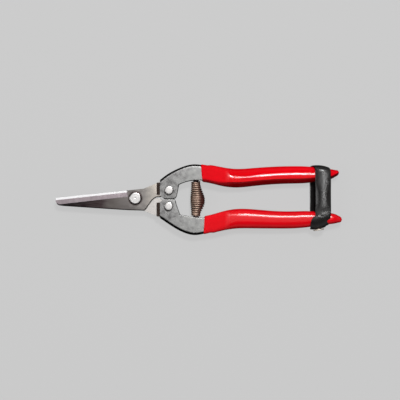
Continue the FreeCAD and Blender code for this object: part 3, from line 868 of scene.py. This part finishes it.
def metal_parts():
    bevel = blade_bevel()
    hone = bright_steel("honed_edge", (0.97, 0.96, 0.97), 0.34, 3 * MM)
    near = blade_flat()
    # The far tang's and the rivets' round edges take painted shade, which makes a dark crescent on the
    # rivets' -Y side.
    tang = bright_steel("far_blade_satin", (0.60, 0.57, 0.546), 0.28, 3 * MM, (0.03, 0.028, 0.026))
    sheet = pressed_steel()
    # Near black: painted shade on the handles' front lips.
    lip = bright_steel("lip_painted_shade", (0.050, 0.036, 0.030), 0.42, 2 * MM)
    polished = bright_steel("rivet_polish", (0.73, 0.71, 0.70), 0.24, 2 * MM, (0.10, 0.08, 0.08))
    plain = bright_steel("washer_steel", (0.30, 0.28, 0.27), 0.34, 2 * MM)
    # Near-black steel: on the pivot's head washer it is painted shade, the dark halo round the head; the
    # spring seats use it too.
    dark = bright_steel("pivot_washer_steel", (0.05, 0.035, 0.035), 0.34, 2 * MM)
    cap = bright_steel("strap_cap_metal", (0.90, 0.82, 0.72), 0.58, 2 * MM)
    edged("near_blade", 0.70 * MM, "upper_half", "blade_steel", [near, bevel, hone], blade_pick(1), near_rim,
          fuller_tip, clamp=False)
    edged("far_blade", 0.06 * MM, "lower_half", "blade_steel", [tang, bevel, hone], blade_pick(-1),
          move=tang_end)
    halves = {"upper": "upper_half", "lower": "lower_half"}
    for side, body in halves.items():
        edged(f"{side}_handle", 0.56 * MM, body, "pressed_steel", [sheet, lip], lip_pick, behind_lips,
              handle_shape, clamp=False)
        edged(f"{side}_tang_spacer", 0.1 * MM, body, "pressed_steel", [plain])
        tang_rivet(f"{side}_tang_rivet", body, polished)
        edged(f"{side}_rivet_washer", 0.1 * MM, body, "rivet_steel", [plain])
        edged(f"{side}_spring_seat", 0.2 * MM, body, "pressed_steel", [dark])
    pivot_rivet(polished)
    # The head washer's near-black steel is painted shade round the pivot head.
    edged("pivot_head_washer", 0.08 * MM, "lower_half", "rivet_steel", [dark])
    edged("pivot_tail_washer", 0.08 * MM, "lower_half", "rivet_steel", [plain])
    edged("strap_rivet_cap", 0.05 * MM, "lower_half", "strap_rivet_metal", [cap])
    edged("strap_rivet_post", 0.03 * MM, "lower_half", "strap_rivet_metal", [cap])


# ---------------------------------------------------------------- stage

LAMPS = [  # name, place, aim, width, height, watts
    ("key", (0.17, 0.59, 1.2), (0.0, 0.0, 0.0), 0.25, 0.21, 13.5),
    ("overhead", (-0.03, 0.0, 1.5), (0.0, 0.0, 0.0), 0.8, 0.8, 1.85),
    ("edge", (-0.27, 0.95, 0.5), (-0.07, 0.0, 0.0), 0.26, 0.16, 0.42),
    ("bevel", (-0.28, 0.87, 1.08), (-0.07, 0.0, 0.0), 0.5, 0.3, 0.42),
    ("left", (-0.9, 0.0, 0.8), (0.0, 0.0, 0.0), 0.5, 0.5, 2.2),
]
SHEEN = ("sheen", (0.34, 0.0, 1.2), (0.08, 0.0, 0.0), 0.07, 0.5, 3.2)
SKY = ((0.0, 0.04), (0.04, 0.45), (0.45, 0.33), (0.75, 0.07))  # height, and grey level there
FLOOR_DROP = 0.02 * MM  # the floor lies this far under the object


def area_light(name, location, target, size, size_y, power):
    data = bpy.data.lights.new(name, "AREA")
    data.shape = "RECTANGLE"
    data.size, data.size_y = size, size_y
    data.energy = power
    lamp = bpy.data.objects.new(name, data)
    lamp.location = location
    lamp.rotation_euler = (Vector(target) - Vector(location)).to_track_quat("-Z", "Y").to_euler()
    bpy.context.collection.objects.link(lamp)
    return lamp


def strap_lamp(pieces):
    """A narrow lamp for the strap's sheen, which lights nothing else."""
    lamp = area_light(*SHEEN)
    lit = bpy.data.collections.new("strap_pieces")
    for piece in pieces:
        lit.objects.link(piece)
    lamp.light_linking.receiver_collection = lit


def floor():
    """A pale light table: it glows, so that shadows on it stay faint."""
    s = Shader("stage_floor", Base_Color=(0.08, 0.08, 0.08, 1), Roughness=0.9, Specular_IOR_Level=0.0,
               Emission_Color=(1, 1, 1, 1), Emission_Strength=0.515)
    s.bump(s.noise(3 * MM, (1, 1, 1), 2), 0.01 * MM)
    bpy.ops.mesh.primitive_plane_add(size=8, location=(0, 0, CAD_BOX[0][2] - FLOOR_DROP))
    plane = bpy.context.object
    plane.name = "stage_floor"
    plane.data.materials.append(s.material)
    plane.visible_diffuse = plane.visible_glossy = False


def sky():
    """Dark below, pale at the horizon and dim overhead, so that the lamps model the shapes."""
    world = bpy.data.worlds.new("studio")
    world.use_nodes = True
    tree = world.node_tree
    coords = tree.nodes.new("ShaderNodeTexCoord")
    parts = tree.nodes.new("ShaderNodeSeparateXYZ")
    ramp = tree.nodes.new("ShaderNodeValToRGB")
    while len(ramp.color_ramp.elements) < len(SKY):
        ramp.color_ramp.elements.new(0.5)
    for element, (position, grey) in zip(ramp.color_ramp.elements, SKY):
        element.position = position
        element.color = (grey, grey, grey, 1)
    tree.links.new(coords.outputs["Generated"], parts.inputs[0])
    tree.links.new(parts.outputs["Z"], ramp.inputs["Fac"])
    tree.links.new(ramp.outputs["Color"], tree.nodes["Background"].inputs["Color"])
    bpy.context.scene.world = world


def stage():
    bpy.context.scene.view_settings.view_transform = "Standard"
    floor()
    sky()
    for lamp in LAMPS:
        area_light(*lamp)


def camera():
    """A long lens straight above the middle, framing 265 mm across."""
    lens, sensor, across = 120.0, 36.0, 264.8 * MM
    top_z = MID + 4 * MM
    data = bpy.data.cameras.new("camera")
    data.lens = lens
    data.sensor_width = sensor
    data.clip_start = 0.05
    view = bpy.data.objects.new("camera", data)
    view.location = (0.83 * MM, -0.53 * MM, top_z + across * lens / sensor)
    view.rotation_euler = (0, 0, 0)
    bpy.context.collection.objects.link(view)
    bpy.context.scene.camera = view


def main():
    upper_vinyl = red_vinyl("red_vinyl_upper", 0.08, 0.13, 0.19, 0.33)
    lower_vinyl = red_vinyl("red_vinyl_lower", 0.20, 0.24, 0.38, 0.95)
    grain = strap_leather("strap_leather_black", (0.004, 0.0036, 0.0036), (0.011, 0.010, 0.0095), 0.28)
    # The raw side is darker than the grain side: painted shade on the loop's inside.
    raw = strap_leather("strap_leather_inside_shade", (0.002, 0.002, 0.002), (0.006, 0.005, 0.005), 0.85, 0.15)
    camera()
    stage()
    metal_parts()
    grip("upper_grip", "upper_handle", -0.42, (1.3, 2.05), upper_vinyl, "upper_half")
    grip("lower_grip", "lower_handle", -0.10, (2.2, 2.6), lower_vinyl, "lower_half")
    return_spring(spring_wire())
    path = StrapPath()
    strap_lamp([strap(path, [grain, raw]), strap_tongue(path, [grain, raw])])


main()
